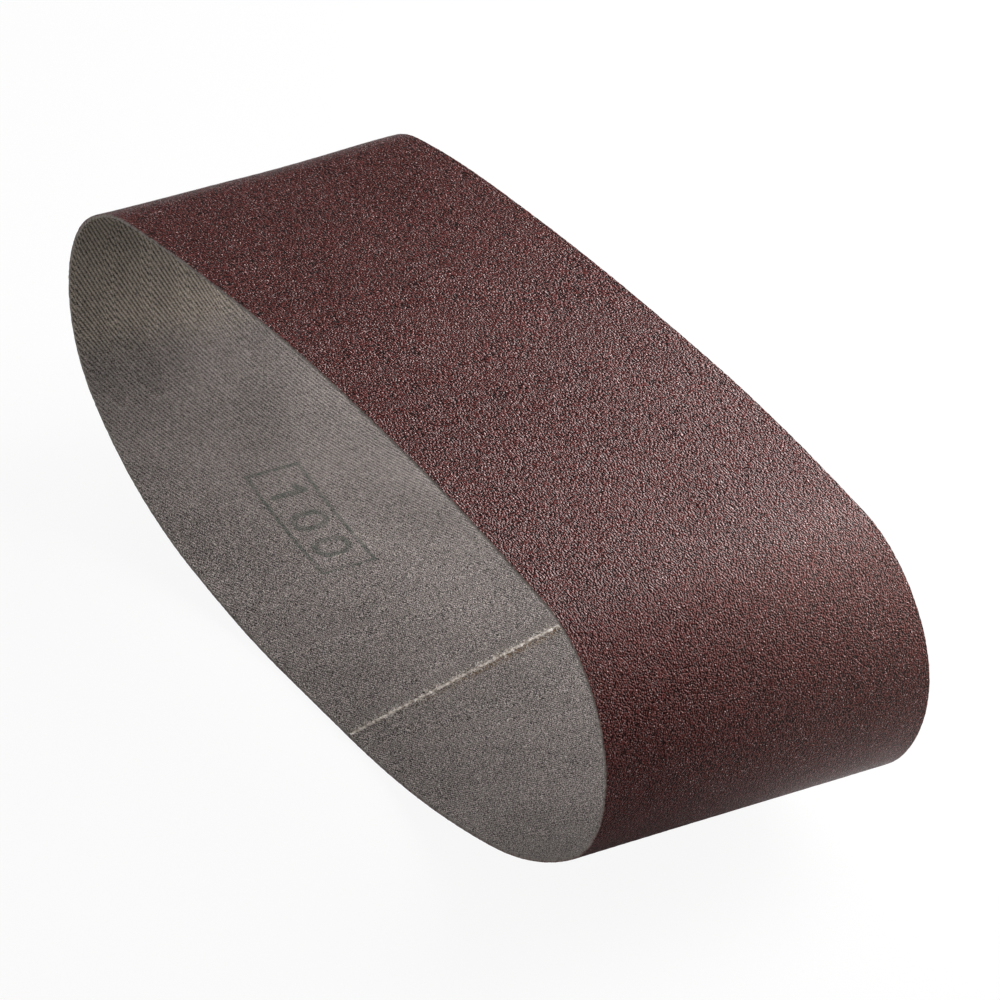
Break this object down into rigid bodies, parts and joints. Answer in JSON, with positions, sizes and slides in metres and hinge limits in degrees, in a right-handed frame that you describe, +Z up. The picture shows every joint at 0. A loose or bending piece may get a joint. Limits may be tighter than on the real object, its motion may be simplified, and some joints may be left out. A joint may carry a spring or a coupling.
{
  "type": "sanding belt",
  "caption": "Endless cloth-backed abrasive belt for a hand-held belt sander, joined on a slant, lying slack on its long lower run.",
  "frame": {"origin": "on the surface that the belt lies on, under the middle of the loop's length and width", "axes": "+X along the loop's long axis, +Y across the belt's width away from the picture's near rim, +Z up"},
  "size_m": [0.2322, 0.075, 0.0815],
  "materials": {
    "twill_cloth": "matt cotton twill, stiffened with resin",
    "abrasive_grain": "dark red-brown grain set in resin, with small bright facets",
    "glue_and_thread": "cream glue with frayed thread ends"
  },
  "bodies": {
    "root": {"cloth_backing": "twill_cloth", "abrasive_coat": "abrasive_grain", "splice_seam": "glue_and_thread"}
  },
  "joints": []
}
